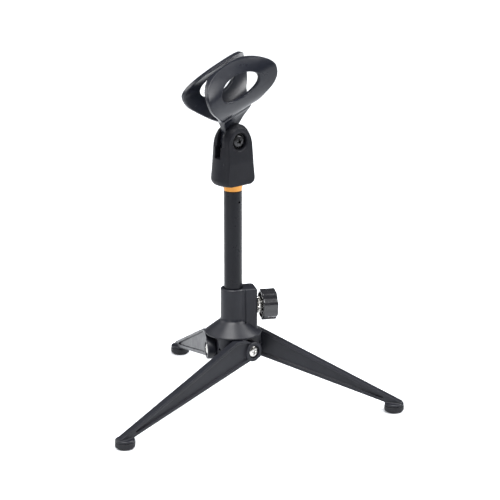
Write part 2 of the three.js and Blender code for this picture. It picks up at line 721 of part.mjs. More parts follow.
// Section of one jaw wall at distance x along the microphone, as a closed ring.
function jawRing(x, side) {
  const steps = 16;
  const width = JAW_HALF_WIDTH + JAW_TAPER * x + JAW_FLARE * (x / JAW_HALF_LENGTH) ** 2;
  const outer = [];
  const inner = [];
  const mids = [];
  for (let i = 0; i <= steps; i += 1) mids.push(jawMid(i / steps, width));
  mids[steps] = [-0.4, -JAW_SEAM];
  mids.forEach(([y, z], i) => {
    const [ya, za] = mids[Math.max(i - 1, 0)];
    const [yb, zb] = mids[Math.min(i + 1, steps)];
    const length = Math.hypot(yb - ya, zb - za);
    const dy = (za - zb) / length * JAW_WALL / 2;
    const dz = (yb - ya) / length * JAW_WALL / 2;
    outer.push([x, side * (y + dy), z + dz]);
    inner.push([x, side * (y - dy), z - dz]);
  });
  return { outer, inner };
}

// One jaw wall: skins between sections, closed at both ends by strips.
function jawWall(side) {
  const stations = 7;
  const reach = JAW_HALF_LENGTH + 2.5;
  const position = [];
  const index = [];
  let perRing = 0;
  for (let k = 0; k <= stations; k += 1) {
    const { outer, inner } = jawRing(-reach + 2 * reach * k / stations, side);
    const ring = [...outer, ...inner.reverse()];
    perRing = ring.length;
    ring.forEach((point) => position.push(...point));
  }
  for (let k = 0; k < stations; k += 1) {
    for (let i = 0; i < perRing; i += 1) {
      const j = (i + 1) % perRing;
      const a = k * perRing;
      const b = a + perRing;
      index.push(a + i, a + j, b + j, a + i, b + j, b + i);
    }
  }
  const last = stations * perRing;
  for (let i = 0; i + 1 < perRing / 2; i += 1) {
    const m = perRing - 1 - i;
    index.push(i, m, i + 1, i + 1, m, m - 1);
    index.push(last + i, last + i + 1, last + m, last + i + 1, last + m - 1, last + m);
  }
  const geometry = new THREE.BufferGeometry();
  geometry.setAttribute('position', new THREE.Float32BufferAttribute(position, 3));
  geometry.setIndex(index);
  return geometry;
}

// Egg-shaped side outline of the jaws about the jaw centre, grown by margin.
function jawOutline(margin) {
  const points = [];
  const steps = 48;
  const power = 2 / JAW_SQUARENESS;
  for (let i = 0; i < steps; i += 1) {
    const angle = 2 * Math.PI * i / steps;
    const c = Math.cos(angle);
    const d = Math.sin(angle);
    const half = d > 0 ? JAW_TOP : JAW_DROP;
    points.push([
      (JAW_HALF_LENGTH + margin) * Math.sign(c) * Math.abs(c) ** power,
      (half + margin) * Math.sign(d) * Math.abs(d) ** power,
    ]);
  }
  return points;
}

function windowOutline() {
  const points = [];
  const steps = 32;
  for (let i = 0; i < steps; i += 1) {
    const angle = 2 * Math.PI * i / steps;
    const z = WINDOW_Z + WINDOW_HALF_HEIGHT * Math.sin(angle);
    points.push([WINDOW_X + WINDOW_HALF_LENGTH * Math.cos(angle), z]);
  }
  return points;
}

function micClip() {
  const skirt = upright([
    [-23.4, -11.6],
    [KEEL_FRONT - 1.2, KEEL_Z - KEEL_R],
    [KEEL_BACK, KEEL_Z - KEEL_R],
    [21, -13],
  ], -30, 30);
  const keel = alongX(rod(KEEL_R, KEEL_FRONT, KEEL_BACK, COARSE)).translate(0, 0, KEEL_Z);
  const sideShape = solid(upright(jawOutline(JAW_MARGIN), -30, 30)).add(solid(skirt));
  const jaws = solid(jawWall(1))
    .add(solid(jawWall(-1)))
    .intersect(sideShape)
    .subtract(solid(upright(windowOutline(), -30, 30)))
    .add(solid(keel));
  const placed = geometryOf(jaws).translate(JAW_CENTRE_X, 0, JAW_CENTRE_Z);
  const seamZ = JAW_CENTRE_Z + KEEL_Z;
  const neckFront = JAW_CENTRE_X + KEEL_FRONT;
  const neckPoints = [
    [neckFront - 0.6, 6],
    [5.2, 6],
    [7.2, 8.7],
    [12.6, 11.6],
    [17.6, 14.2],
    [19.2, seamZ - 1],
    [19.2, seamZ],
    [neckFront, seamZ],
  ];
  const half = TONGUE_THICKNESS / 2;
  const wedge = raised([
    [-half, 8],
    [half, 8],
    [half, 11.8],
    [half + 0.7, 14],
    [NECK_HALF_TOP, 16],
    [NECK_HALF_TOP, seamZ + 1],
    [-NECK_HALF_TOP, seamZ + 1],
    [-NECK_HALF_TOP, 16],
    [-half - 0.7, 14],
    [-half, 11.8],
  ], -6, 24);
  wedge.rotateX(Math.PI / 2).rotateZ(Math.PI / 2);
  const clear = alongY(rod(NECK_CLEAR_R, -12, 12, FINE));
  const neck = solid(upright(neckPoints, -8, 8)).intersect(solid(wedge)).subtract(solid(clear));
  const tongue = solid(upright(neckPoints, -half, half))
    .add(solid(alongY(rod(TONGUE_R, -half, half, FINE))));
  const bore = alongY(rod(TILT_SHANK_R + GAP, -12, 12, COARSE));
  const clip = solid(placed).add(neck).add(tongue).subtract(solid(bore));
  const flat = geometryOf(clip).rotateY(-rad(CLIP_TILT)).translate(0, 0, TILT_Z);
  return turnedToClip(flat);
}

// ---- assembly -------------------------------------------------------------------------

addNode('hub', hub(), satinBlack);
LEG_NORMALS.forEach((normal, i) => {
  const number = i + 1;
  addNode(`leg_${number}`, leg(normal), satinBlack);
  addNode(`leg_screw_${number}`, legScrew(normal), nickel);
  addNode(`leg_washer_${number}`, legWasher(normal), nylon);
  addNode(`foot_${number}`, foot(normal), footRubber);
});
addNode('mast_tube', mastTube(), satinBlack);
addNode('mast_thread_stud', mastStud(), brass);
addNode('clamp_shoe', clampShoe(), nylon);
addNode('clamp_stud', clampStud(), nickel);
addNode('clamp_collar', clampCollar(), nickel);
addNode('clamp_knob', clampKnob(), knobPlastic);
addNode('clip_base', clipBase(), mattPlastic);
addNode('clip_thread_insert', threadInsert(), brass);
addNode('clip_tilt_screw', tiltScrew(), blackSteel);
addNode('clip_tilt_nut', tiltNut(), blackSteel);
addNode('mic_clip', micClip(), clipPlastic);
group.position.set(MAST_X, MAST_Y, 0);

export default group;
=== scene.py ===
"""Looks of a desktop mic stand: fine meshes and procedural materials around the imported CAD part."""
import json
import math

import bmesh
import bpy
from mathutils import Matrix, Vector


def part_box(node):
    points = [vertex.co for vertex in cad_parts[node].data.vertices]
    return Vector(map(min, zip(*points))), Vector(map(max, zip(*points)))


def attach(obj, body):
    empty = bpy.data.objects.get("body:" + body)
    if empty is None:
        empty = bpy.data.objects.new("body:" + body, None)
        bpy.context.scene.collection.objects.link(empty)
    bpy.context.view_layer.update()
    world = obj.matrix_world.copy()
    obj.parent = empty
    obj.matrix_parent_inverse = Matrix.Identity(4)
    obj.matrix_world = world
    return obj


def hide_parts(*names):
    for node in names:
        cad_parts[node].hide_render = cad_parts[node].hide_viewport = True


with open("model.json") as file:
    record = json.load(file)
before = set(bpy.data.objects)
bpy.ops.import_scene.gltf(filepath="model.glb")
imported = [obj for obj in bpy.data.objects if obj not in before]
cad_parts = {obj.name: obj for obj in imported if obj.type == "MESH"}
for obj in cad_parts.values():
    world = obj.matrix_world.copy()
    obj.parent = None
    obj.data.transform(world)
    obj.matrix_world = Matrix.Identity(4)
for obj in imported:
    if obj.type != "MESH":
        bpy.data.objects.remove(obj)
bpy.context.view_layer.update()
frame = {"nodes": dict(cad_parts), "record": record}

MM = 0.001
tube_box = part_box("mast_tube")
MAST = Vector(((tube_box[0][0] + tube_box[1][0]) / 2, (tube_box[0][1] + tube_box[1][1]) / 2, 0))

# ---- sizes in millimetres, as in the CAD part, measured from the foot of the mast -------
GAP = 0.3  # between neighbouring pieces
OVER = 1.0  # how far a cutter reaches past the surface it opens

TUBE_R = 6.0
TUBE_WALL = 1.2
TUBE_BOTTOM = 50.0
TUBE_TOP = 145.8
TUBE_EDGE = 0.3
CRIMP_Z = 138.6  # small punched mark near the tube's top
CRIMP_R = 0.8
CRIMP_AZIMUTH = -57
SHOULDER_R = 6.6  # brass stud between the tube and the clip
SHOULDER_HEIGHT = 4.6
SPIGOT_LENGTH = 14
THREAD_R = 4.7
THREAD_DEPTH = 0.5
THREAD_PITCH = 1.4
STUD_TOP = 160.0
BORE_R = TUBE_R + GAP

HUB_TOP = 80.0
HUB_EDGE = 0.7
COLLAR_R = 8.25
CONE_TOP = 58.0
RIM_R = 18.7
RIM_BOTTOM = 49.3
RIM_LIP = 1.4
BODY_BOTTOM = 31.3  # three-sided body under the rim, with one round corner per leg
BODY_FACE = 12.7
BODY_CORNER = 11.6
BODY_CORNER_R = BODY_FACE - BODY_CORNER / 2
BOSS_END = 15.0  # square boss that holds the clamp
BOSS_HALF = 7.0
BOSS_CORNER_R = 1.6
BOSS_EDGE = 0.9
CREASE_X = 6.8  # groove where the boss meets the collar
CREASE_WIDTH = 0.8
CREASE_DEPTH = 0.7
CREASE_BOTTOM = 55.0
VENT_R = 1.05  # blind hole in each corner of the body
VENT_Z = 41.9
VENT_DEPTH = 3.0
VENT_TURN = -34

CLAMP_Z = 66.8
CLAMP_HOLE_R = 3.3
COLLAR_START = 15.8
KNOB_START = 18.4
KNOB_END = 28.5
KNOB_R = 10.3
KNOB_EDGE = 1.0
KNOB_TURN = 15
LOBES = 8
SCALLOP = 0.9  # depth of the hollows between the lobes
SCALLOP_POWER = 1.1
CUP_R = 8.3  # hollow back of the knob
CUP_DEPTH = 1.6
CUP_EDGE = 0.3
KNURL_R = 5.4
KNURL_DEPTH = 0.35
KNURL_TEETH = 20
KNURL_BORE_R = 3.15
INSERT_R = 4.2  # sleeve of the metal collar inside the knob
INSERT_END = 26.0

LEG_NORMALS = (60, 180, 300)  # directions in degrees that the flat faces of the legs look
LEG_INNER = 13.1
LEG_OUTER = 18.1
LEG_MID = 15.6
PIVOT_S = -2.0  # along the leg
PIVOT_Z = 39.3
LEG_TOP_SLOPE = 0.423
LEG_TOP_Z0 = 54.06
LEG_BOTTOM_SLOPE = 0.275
LEG_BOTTOM_Z0 = 33.7
LEG_END_R = (PIVOT_Z - LEG_BOTTOM_Z0 + LEG_BOTTOM_SLOPE * PIVOT_S) / math.hypot(1, LEG_BOTTOM_SLOPE)
LEG_FLAT_Z = RIM_BOTTOM - GAP
LEG_TIP_PAST_FOOT = 5.2
WEB_RIM = 2.0
WEB_DEPTH = 1.3
WEB_END = 99.0
LEG_BOSS_R = 6.7
BOSS_RISE = 0.6
COUNTERBORE_R = 4.4
COUNTERBORE_DEPTH = 2.2
HEAD_SEAT = LEG_OUTER + BOSS_RISE - COUNTERBORE_DEPTH
FOOT_S = 106.0
DISC_R = 6.4
DISC_BOTTOM = 4.6
DISC_TOP = 6.2
DISC_EDGE = 0.6
FOOT_R = 6.5
FOOT_HEIGHT = 4.4
FOOT_BEVEL = 1.3
STEM_R = 1.7  # rubber stem of the foot, pressed into the leg
STEM_TOP = 7.0
STEM_HOLE_TOP = 7.3

HEAD_R = 3.8  # leg screws
HEAD_H = 2.1
SHANK_R = 2.4
SCREW_TIP = 7.4
HEAD_SPIN = 35  # degrees that the first cross recess is turned, and the step to the next
HEAD_SPIN_STEP = 20
SCREW_PITCH = 0.8
SCREW_THREAD_DEPTH = 0.32
SCREW_POINT = 0.7
WASHER_R = 4.8
WASHER_POCKET = 0.7

CLIP_AZIMUTH = 27.2
CLIP_TILT = 20.7
TILT_Z = 179.3
BASE_BOTTOM = 150.4
BASE_REACH = 16  # past the widest part of the base
EAR_R = 10.9
EAR_EDGE = 1.2
FLAT_TOP = 7.7
FLAT_BOTTOM = 10.2
SLOT_WIDTH = 5.3
SLOT_BOTTOM = 168.5
BASE_RECESS_R = 5.6
SEAT = 4.5  # from the clip's middle to the seats of the tilt screw's head and nut
SOCKET_R = 8.0
SOCKET_TOP = 160.8
STUD_HOLE_R = 5.0
STUD_HOLE_TOP = 162.0
TILT_SHANK_R = 2.2
TILT_HEAD_R = 4.3
TILT_HEAD_H = 2.6
TILT_HEAD_SPIN = 20
TILT_TIP_PAST_NUT = 0.3
NUT_FLATS = 8.0
NUT_THICK = 2.7
HEX_CORNER = 1 / math.cos(math.pi / 6)  # corner radius of a hexagon one unit from its flats

JAW_X = 9.8
JAW_Z = 37.4
JAW_HALF_LENGTH = 27.7
JAW_OVERRUN = 2.5  # the wall is drawn this much longer, then trimmed to its side view
JAW_TOP = 12.8
JAW_DROP = 19.0
JAW_SQUARENESS = 2.18
JAW_MARGIN = 0.2
JAW_WIDTH = 10.7
JAW_TAPER = 0.055
JAW_FLARE = 3.9
JAW_CURL = 0.74
JAW_CURL_POWER = 1.8
JAW_SEAM = 19.6
JAW_SEAM_POWER = 2.5
JAW_SPLIT = 0.4  # share of the section above its widest point
JAW_WALL = 3.0
WINDOW_X = -0.3
WINDOW_Z = -1.4
WINDOW_HALF_LENGTH = 15.6
WINDOW_HALF_HEIGHT = 7.5
KEEL_R = 2.35
KEEL_Z = -19.8
KEEL_FRONT = -14.3
KEEL_BACK = 10.0
TONGUE = 4.7
TONGUE_R = 8.6
NECK_CLEAR_R = 11.5
NECK_HALF = 4.4
FAR = 30  # past everything on the clip, sideways

# Moulding and casting: voxel in millimetres, smoothing passes, share of the triangles kept.
CASTING = (0.25, 4, 0.35)
BASE_MOULDING = (0.25, 5, 0.35)
CLIP_MOULDING = (0.28, 16, 0.4)
SCREW_FORMING = (0.1, 3, 0.3)
NUT_FORMING = (0.12, 2, 0.5)

# ---- camera -------------------------------------------------------------------------
VIEW_TURN = 12.5  # degrees from the part's -Y side towards its -X side
VIEW_DROP = 16.54  # degrees below the horizon
CAMERA_AT = (11.06, -1438.8, 532.6)  # in the view's own frame, x right and y away
LENS_MM = 165.79
SENSOR_MM = 36.0
NEAREST = 0.05  # metres
FARTHEST = 60


def from_view(x, y, z):
    """A point measured from the foot of the mast, to the camera's right, away from it and up."""
    return MAST + Matrix.Rotation(math.radians(-VIEW_TURN), 4, "Z") @ (Vector((x, y, z)) * MM)


# ---- shapes as (vertices, faces), in millimetres --------------------------------------
def circle(r, z, steps):
    step = 2 * math.pi / steps
    return [(r * math.cos(i * step), r * math.sin(i * step), z) for i in range(steps)]


def arc(cx, cy, r, start, end, steps):
    angles = [math.radians(start + (end - start) * i / steps) for i in range(steps + 1)]
    return [(cx + r * math.cos(a), cy + r * math.sin(a)) for a in angles]


def bands(rings, closed=False):
    """Skin between equal rings. Open skins are closed by a flat cap at each end."""
    count = len(rings[0])
    verts = [p for ring in rings for p in ring]
    faces = []
    total = len(rings)
    for k in range(total if closed else total - 1):
        a = k * count
        b = (k + 1) % total * count
        for i in range(count):
            j = (i + 1) % count
            faces.append((a + i, a + j, b + j, b + i))
    if not closed:
        faces.append(tuple(range(count)))
        faces.append(tuple(range((total - 1) * count, total * count)))
    return verts, faces


def lathe(profile, steps=96):
    """Turned shape about Z. The profile either starts and ends on the axis or is a closed loop."""
    closed = profile[0][0] > 0
    verts = []
    faces = []
    rows = []  # first vertex and number of vertices of each ring
    for r, z in profile:
        row = circle(r, z, steps) if r > 0 else [(0, 0, z)]
        rows.append((len(verts), len(row)))
        verts += row
    following = rows[1:] + (rows[:1] if closed else [])
    for (a, na), (b, nb) in zip(rows, following):
        for i in range(steps):
            j = (i + 1) % steps
            face = [a + i % na, a + j % na, b + j % nb, b + i % nb]
            unique = list(dict.fromkeys(face))
            if len(unique) > 2:
                faces.append(tuple(unique))
    return verts, faces


def rounded(points, radius, steps=5, closed=False):
    """Polyline with each corner replaced by a small curve."""
    out = []
    last = len(points) - 1
    for i, p in enumerate(points):
        if not closed and i in (0, last):
            out.append(p)
            continue
        a = points[i - 1]
        b = points[(i + 1) % len(points)]
        da = (a[0] - p[0], a[1] - p[1])
        db = (b[0] - p[0], b[1] - p[1])
        la = math.hypot(*da)
        lb = math.hypot(*db)
        reach = min(radius, la * 0.45, lb * 0.45)
        start = (p[0] + da[0] / la * reach, p[1] + da[1] / la * reach)
        end = (p[0] + db[0] / lb * reach, p[1] + db[1] / lb * reach)
        for k in range(steps + 1):
            t = k / steps
            w = ((1 - t) ** 2, 2 * t * (1 - t), t * t)
            out.append(tuple(w[0] * start[n] + w[1] * p[n] + w[2] * end[n] for n in (0, 1)))
    return out


def rod(r, z0, z1, steps=64):
    return lathe([(0, z0), (r, z0), (r, z1), (0, z1)], steps)


def moved(shape, matrix):
    return [tuple(matrix @ Vector(v)) for v in shape[0]], shape[1]


def shift(x, y, z):
    return Matrix.Translation((x, y, z))


def turn(degrees, axis):
    return Matrix.Rotation(math.radians(degrees), 4, axis)


def along_x(shape, z=0):
    """Lays a shape drawn along Z down along +X."""
    return moved(shape, shift(0, 0, z) @ turn(90, "Y"))


def along_y(shape, x=0, z=0):
    """Lays a shape drawn along Z down along +Y."""
    return moved(shape, shift(x, 0, z) @ turn(-90, "X"))


def raised(outline, z0, z1):
    """Outline in X and Y, drawn out along Z."""
    return bands([[(x, y, z) for x, y in outline] for z in (z0, z1)])


def upright(outline, y0, y1):
    """Outline in X and Z, drawn out along Y."""
    return bands([[(x, y, z) for x, z in outline] for y in (y0, y1)])


def block(x0, x1, y0, y1, z0, z1):
    return raised([(x0, y0), (x1, y0), (x1, y1), (x0, y1)], z0, z1)


# ---- meshes ---------------------------------------------------------------------------
def build(name, shape):
    mesh = bpy.data.meshes.new(name)
    mesh.from_pydata([Vector(v) for v in shape[0]], [], shape[1])
    bm = bmesh.new()
    bm.from_mesh(mesh)
    bmesh.ops.remove_doubles(bm, verts=bm.verts, dist=1e-5)
    bmesh.ops.recalc_face_normals(bm, faces=bm.faces)
    bm.to_mesh(mesh)
    bm.free()
    obj = bpy.data.objects.new(name, mesh)
    bpy.context.scene.collection.objects.link(obj)
    return obj


def settle(obj):
    """Applies the object's modifiers to its mesh."""
    bpy.context.view_layer.update()
    shown = obj.evaluated_get(bpy.context.evaluated_depsgraph_get())
    mesh = bpy.data.meshes.new_from_object(shown)
    old = obj.data
    obj.modifiers.clear()
    obj.data = mesh
    bpy.data.meshes.remove(old)


def taken(obj):
    """The object's mesh as a shape; the object itself goes."""
    shape = [tuple(v.co) for v in obj.data.vertices], [tuple(p.vertices) for p in obj.data.polygons]
    bpy.data.objects.remove(obj)
    return shape


def combine(obj, operation, *shapes):
    """Boolean of the object with each shape in turn."""
    for shape in shapes:
        tool = build("tool", shape)
        change = obj.modifiers.new("combine", "BOOLEAN")
        change.operation = operation
        change.solver = "MANIFOLD"
        change.object = tool
        settle(obj)
        bpy.data.objects.remove(tool)
    return obj


def join(obj, *shapes):
    return combine(obj, "UNION", *shapes)


def cut(obj, *shapes):
    return combine(obj, "DIFFERENCE", *shapes)


def keep(obj, *shapes):
    return combine(obj, "INTERSECT", *shapes)


def cast(obj, voxel, passes, share):
    """Evens out the mesh and rounds its edges, as moulding and casting do."""
    even = obj.modifiers.new("even", "REMESH")
    even.mode = "VOXEL"
    even.voxel_size = voxel
    soft = obj.modifiers.new("soft", "SMOOTH")
    soft.factor = 0.5
    soft.iterations = passes
    thin = obj.modifiers.new("thin", "DECIMATE")
    thin.ratio = share
    settle(obj)


def place(obj, body, node, slot, sharp=None, finish=None):
    """Moves a mesh drawn around the mast to its place in the frame, where it replaces its CAD node.

    Edges steeper than sharp degrees stay crisp. The material is the slot's own, or finish.
    """
    obj.data.transform(Matrix.Translation(MAST) @ Matrix.Scale(MM, 4))
    obj.data.shade_smooth()
    if sharp:
        obj.data.set_sharp_from_angle(angle=math.radians(sharp))
        even = obj.modifiers.new("normals", "WEIGHTED_NORMAL")
        even.keep_sharp = True
    obj.data.materials.clear()
    obj.data.materials.append(LOOKS[finish or slot])
    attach(obj, body)
    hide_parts(node)


# ---- materials --------------------------------------------------------------------------
NOISE_ROUGHNESS = 0.55
SMOOTHEST = 0.04


def look(name, colour, rough, metal=0.0, spread=0.06, tint=None, grain=900, relief=0.03,
         waves=60, wave_relief=0.0, specular=0.5, wear=None, wear_at=0.54, painted_hollow_shade=None):
    """Procedural finish: colour drift, grain, waviness, uneven gloss, worn edges and painted shade in
    hollows.

    grain and waves are features per metre; relief and wave_relief are depths in millimetres.
    """
    made = bpy.data.materials.new(name)
    made.use_nodes = True
    tree = made.node_tree
    tree.nodes.clear()

    def node(kind, **settings):
        n = tree.nodes.new(kind)
        for key, value in settings.items():
            setattr(n, key, value)
        return n

    def noise(scale, detail):
        n = node("ShaderNodeTexNoise")
        n.inputs["Scale"].default_value = scale
        n.inputs["Detail"].default_value = detail
        n.inputs["Roughness"].default_value = NOISE_ROUGHNESS
        tree.links.new(where.outputs["Object"], n.inputs["Vector"])
        return n.outputs["Fac"]

    def ranged(source, low, high, out_low, out_high):
        n = node("ShaderNodeMapRange")
        for key, value in zip(("From Min", "From Max", "To Min", "To Max"), (low, high, out_low, out_high)):
            n.inputs[key].default_value = value
        tree.links.new(source, n.inputs["Value"])
        return n.outputs["Result"]

    def mixed(factor, a, b):
        n = node("ShaderNodeMix", data_type="RGBA")
        tree.links.new(factor, n.inputs["Factor"])
        for socket, value in (("A", a), ("B", b)):
            target = [s for s in n.inputs if s.name == socket and s.type == "RGBA"][0]
            if isinstance(value, tuple):
                target.default_value = (*value, 1)
            else:
                tree.links.new(value, target)
        return [s for s in n.outputs if s.type == "RGBA"][0]

    def bumped(height, depth, normal):
        n = node("ShaderNodeBump")
        n.inputs["Strength"].default_value = 1
        n.inputs["Distance"].default_value = depth * MM
        tree.links.new(height, n.inputs["Height"])
        if normal:
            tree.links.new(normal, n.inputs["Normal"])
        return n.outputs["Normal"]

    where = node("ShaderNodeTexCoord")
    shader = node("ShaderNodeBsdfPrincipled")
    output = node("ShaderNodeOutputMaterial")
    tree.links.new(shader.outputs["BSDF"], output.inputs["Surface"])
    shader.inputs["Metallic"].default_value = metal
    shader.inputs["Specular IOR Level"].default_value = specular

    drift = ranged(noise(waves * 0.6, 3), 0.3, 0.7, 0, 1)
    other = tint or tuple(c * 1.3 + 0.001 for c in colour)
    surface = mixed(drift, colour, other)
    speck = ranged(noise(grain * 0.7, 2), 0.55, 0.75, 0, 0.35)
    surface = mixed(speck, surface, tuple(c * 1.5 + 0.003 for c in colour))
    shape = node("ShaderNodeNewGeometry")
    # Painted shade: low pointiness (hollows, creases, thread roots) mixes the colour towards a dark shade
    # colour.
    if painted_hollow_shade:
        surface = mixed(ranged(shape.outputs["Pointiness"], 0.47, 0.4, 0, 0.9), surface, painted_hollow_shade)
    if wear:
        edge = ranged(shape.outputs["Pointiness"], wear_at, wear_at + 0.08, 0, 0.55)
        patch = node("ShaderNodeMath", operation="MULTIPLY")
        tree.links.new(edge, patch.inputs[0])
        tree.links.new(ranged(noise(350, 4), 0.42, 0.62, 0, 1), patch.inputs[1])
        surface = mixed(patch.outputs[0], surface, wear)
    tree.links.new(surface, shader.inputs["Base Color"])

    uneven = ranged(noise(waves * 2.5, 4), 0.3, 0.7, max(rough - spread, SMOOTHEST), rough + spread)
    tree.links.new(uneven, shader.inputs["Roughness"])
    normal = bumped(noise(grain, 3), relief, None)
    if wave_relief:
        normal = bumped(noise(waves, 2), wave_relief, normal)
    tree.links.new(normal, shader.inputs["Normal"])
    return made


LOOKS = {
    "satin_black": look("powder_coated_metal", (0.0068, 0.0074, 0.0108), 0.42, spread=0.05, grain=1500,
                        specular=0.25, relief=0.012, waves=70, wear=(0.055, 0.056, 0.06), wear_at=0.56),
    "tube_black": look("painted_tube", (0.0042, 0.0046, 0.0068), 0.3, spread=0.04, grain=1700,
                       specular=0.16, relief=0.0008, waves=50, wear=(0.04, 0.04, 0.044), wear_at=0.56),
    # Nickel: painted shade, near black, in the cross recesses, knurl grooves and other hollows.
    "nickel": look("nickel_plate", (0.52, 0.51, 0.49), 0.24, metal=1.0, grain=2600, relief=0.003,
                   waves=180, tint=(0.42, 0.41, 0.39), spread=0.07, painted_hollow_shade=(0.02, 0.02, 0.02)),
    "nylon": look("black_nylon", (0.02, 0.02, 0.021), 0.5, grain=2000, relief=0.006),
    "foot_rubber": look("moulded_rubber", (0.0088, 0.009, 0.0112), 0.62, grain=1300, relief=0.03,
                        waves=120, specular=0.24, wear=(0.05, 0.05, 0.052), wear_at=0.55),
    # Brass: painted shade in the thread roots and other hollows.
    "brass": look("polished_brass", (0.42, 0.2, 0.05), 0.14, metal=1.0, grain=2200, relief=0.003,
                  waves=150, tint=(0.34, 0.15, 0.035), spread=0.05, painted_hollow_shade=(0.05, 0.03, 0.01)),
    "knob_plastic": look("glossy_knob_plastic", (0.009, 0.009, 0.011), 0.24, grain=1800, relief=0.003,
                         waves=90, wave_relief=0.006, spread=0.05, specular=0.6),
    "base_plastic": look("textured_moulding", (0.0042, 0.0045, 0.0068), 0.5, grain=2400, relief=0.02,
                         waves=80, specular=0.16, wear=(0.05, 0.05, 0.055), wear_at=0.56),
    "black_steel": look("blackened_steel", (0.03, 0.03, 0.032), 0.28, metal=0.7, grain=2400,
                        relief=0.003, waves=200),
    "clip_plastic": look("semi_gloss_moulding", (0.0068, 0.0078, 0.0118), 0.32, grain=1500, relief=0.008,
                         waves=55, wave_relief=0.02, spread=0.05, specular=0.3,
                         wear=(0.06, 0.062, 0.066), wear_at=0.56),
}


# ---- hub ----------------------------------------------------------------------------------
def corner_at(degrees):
    """Middle of the body's round corner that points this way."""
    a = math.radians(degrees)
    return BODY_CORNER * math.cos(a), BODY_CORNER * math.sin(a)


def hub():
    shell = lathe([
        (0, RIM_BOTTOM), (RIM_R - 0.3, RIM_BOTTOM), (RIM_R, RIM_BOTTOM + 0.4),
        (RIM_R, RIM_BOTTOM + RIM_LIP - 0.4), (RIM_R - 0.6, RIM_BOTTOM + RIM_LIP),
        (COLLAR_R + 1.4, CONE_TOP - 0.5), (COLLAR_R + 0.4, CONE_TOP + 0.5),
        (COLLAR_R, CONE_TOP + 1.8), (COLLAR_R, HUB_TOP - HUB_EDGE), (COLLAR_R - HUB_EDGE, HUB_TOP),
        (0, HUB_TOP),
    ], 160)
    plan = []
    for normal in LEG_NORMALS:
        plan += arc(*corner_at(normal - 60), BODY_CORNER_R, normal - 120, normal, 32)

    def boss(inset, z):
        half = BOSS_HALF - inset
        end = BOSS_END - inset
        r = BOSS_CORNER_R
        outline = [(0, -half), *arc(end - r, -half + r, r, -90, 0, 10),
                   *arc(end - r, half - r, r, 0, 90, 10), (0, half)]
        return [(x, y, z) for x, y in outline]

    obj = build("hub_casting", shell)
    join(obj, raised(plan, BODY_BOTTOM, RIM_BOTTOM + 0.5),
         bands([boss(0, RIM_BOTTOM + RIM_LIP), boss(0, HUB_TOP - BOSS_EDGE), boss(BOSS_EDGE, HUB_TOP)]))
    cut(obj, rod(BORE_R, BODY_BOTTOM - OVER, HUB_TOP + OVER, 96),
        along_x(rod(CLAMP_HOLE_R, 0, BOSS_END + OVER), z=CLAMP_Z))
    for side in (-1, 1):
        y = sorted((side * (BOSS_HALF - CREASE_DEPTH), side * (BOSS_HALF + OVER)))
        half = CREASE_WIDTH / 2
        cut(obj, block(CREASE_X - half, CREASE_X + half, *y, CREASE_BOTTOM, HUB_TOP + OVER))
    for normal in LEG_NORMALS:
        thread = along_y(rod(SHANK_R + GAP, 0, BODY_FACE + OVER), PIVOT_S, PIVOT_Z)
        vent = along_x(rod(VENT_R, BODY_CORNER_R - VENT_DEPTH, BODY_CORNER_R + OVER, 32))
        vent_place = shift(*corner_at(normal + 60), VENT_Z) @ turn(normal + 60 + VENT_TURN, "Z")
        cut(obj, moved(thread, turn(normal - 90, "Z")), moved(vent, vent_place))
    cast(obj, *CASTING)
    place(obj, "stand", "hub", "satin_black")


# ---- legs -----------------------------------------------------------------------------------
def leg_top(s):
    return LEG_TOP_Z0 - LEG_TOP_SLOPE * s


def leg_bottom(s):
    return LEG_BOTTOM_Z0 - LEG_BOTTOM_SLOPE * s


def leg(number, normal):
    flat_s = (LEG_TOP_Z0 - LEG_FLAT_Z) / LEG_TOP_SLOPE
    tip = FOOT_S + LEG_TIP_PAST_FOOT
    outline = [
        *arc(PIVOT_S, PIVOT_Z, LEG_END_R, 110, 254.6, 32),
        ((LEG_BOTTOM_Z0 - DISC_BOTTOM) / LEG_BOTTOM_SLOPE, DISC_BOTTOM), (tip, DISC_BOTTOM),
        (tip, leg_top(tip)), (flat_s, LEG_FLAT_Z), (PIVOT_S + 7.5, LEG_FLAT_Z),
    ]
    web = rounded([
        (1, leg_top(1) - 6 - WEB_RIM), (4, LEG_FLAT_Z - WEB_RIM - 0.6), (flat_s, LEG_FLAT_Z - WEB_RIM),
        (WEB_END, leg_top(WEB_END) - WEB_RIM - 0.2), (WEB_END, leg_bottom(WEB_END) + WEB_RIM + 0.2),
        (3, leg_bottom(3) + WEB_RIM + 0.4), (1, leg_bottom(1) + WEB_RIM + 1),
    ], 0.8, 4, closed=True)
    at = (PIVOT_S, PIVOT_Z)
    obj = build(f"leg_bar_{number}", upright(outline, LEG_INNER, LEG_OUTER))
    cut(obj, upright(web, LEG_OUTER - WEB_DEPTH, LEG_OUTER + OVER),
        upright(web, LEG_INNER - OVER, LEG_INNER + WEB_DEPTH))
    disc = lathe([(0, DISC_BOTTOM), (DISC_R, DISC_BOTTOM), (DISC_R, DISC_TOP - DISC_EDGE),
                  (DISC_R - DISC_EDGE, DISC_TOP), (0, DISC_TOP)])
    join(obj, along_y(rod(LEG_BOSS_R, LEG_INNER, LEG_OUTER), *at),
         along_y(rod(LEG_BOSS_R - 0.4, LEG_MID, LEG_OUTER + BOSS_RISE), *at),
         moved(disc, shift(FOOT_S, LEG_MID, 0)))
    cut(obj, moved(rod(STEM_R + GAP, DISC_BOTTOM - OVER, STEM_HOLE_TOP), shift(FOOT_S, LEG_MID, 0)),
        along_y(rod(SHANK_R + GAP, LEG_INNER - OVER, LEG_OUTER + OVER), *at),
        along_y(rod(COUNTERBORE_R, HEAD_SEAT, LEG_OUTER + BOSS_RISE + OVER), *at),
        along_y(rod(WASHER_R + GAP, LEG_INNER - OVER, LEG_INNER + WASHER_POCKET), *at))
    cast(obj, *CASTING)
    obj.data.transform(turn(normal - 90, "Z"))
    place(obj, BODY_OF[f"leg_{number}"], f"leg_{number}", "satin_black")


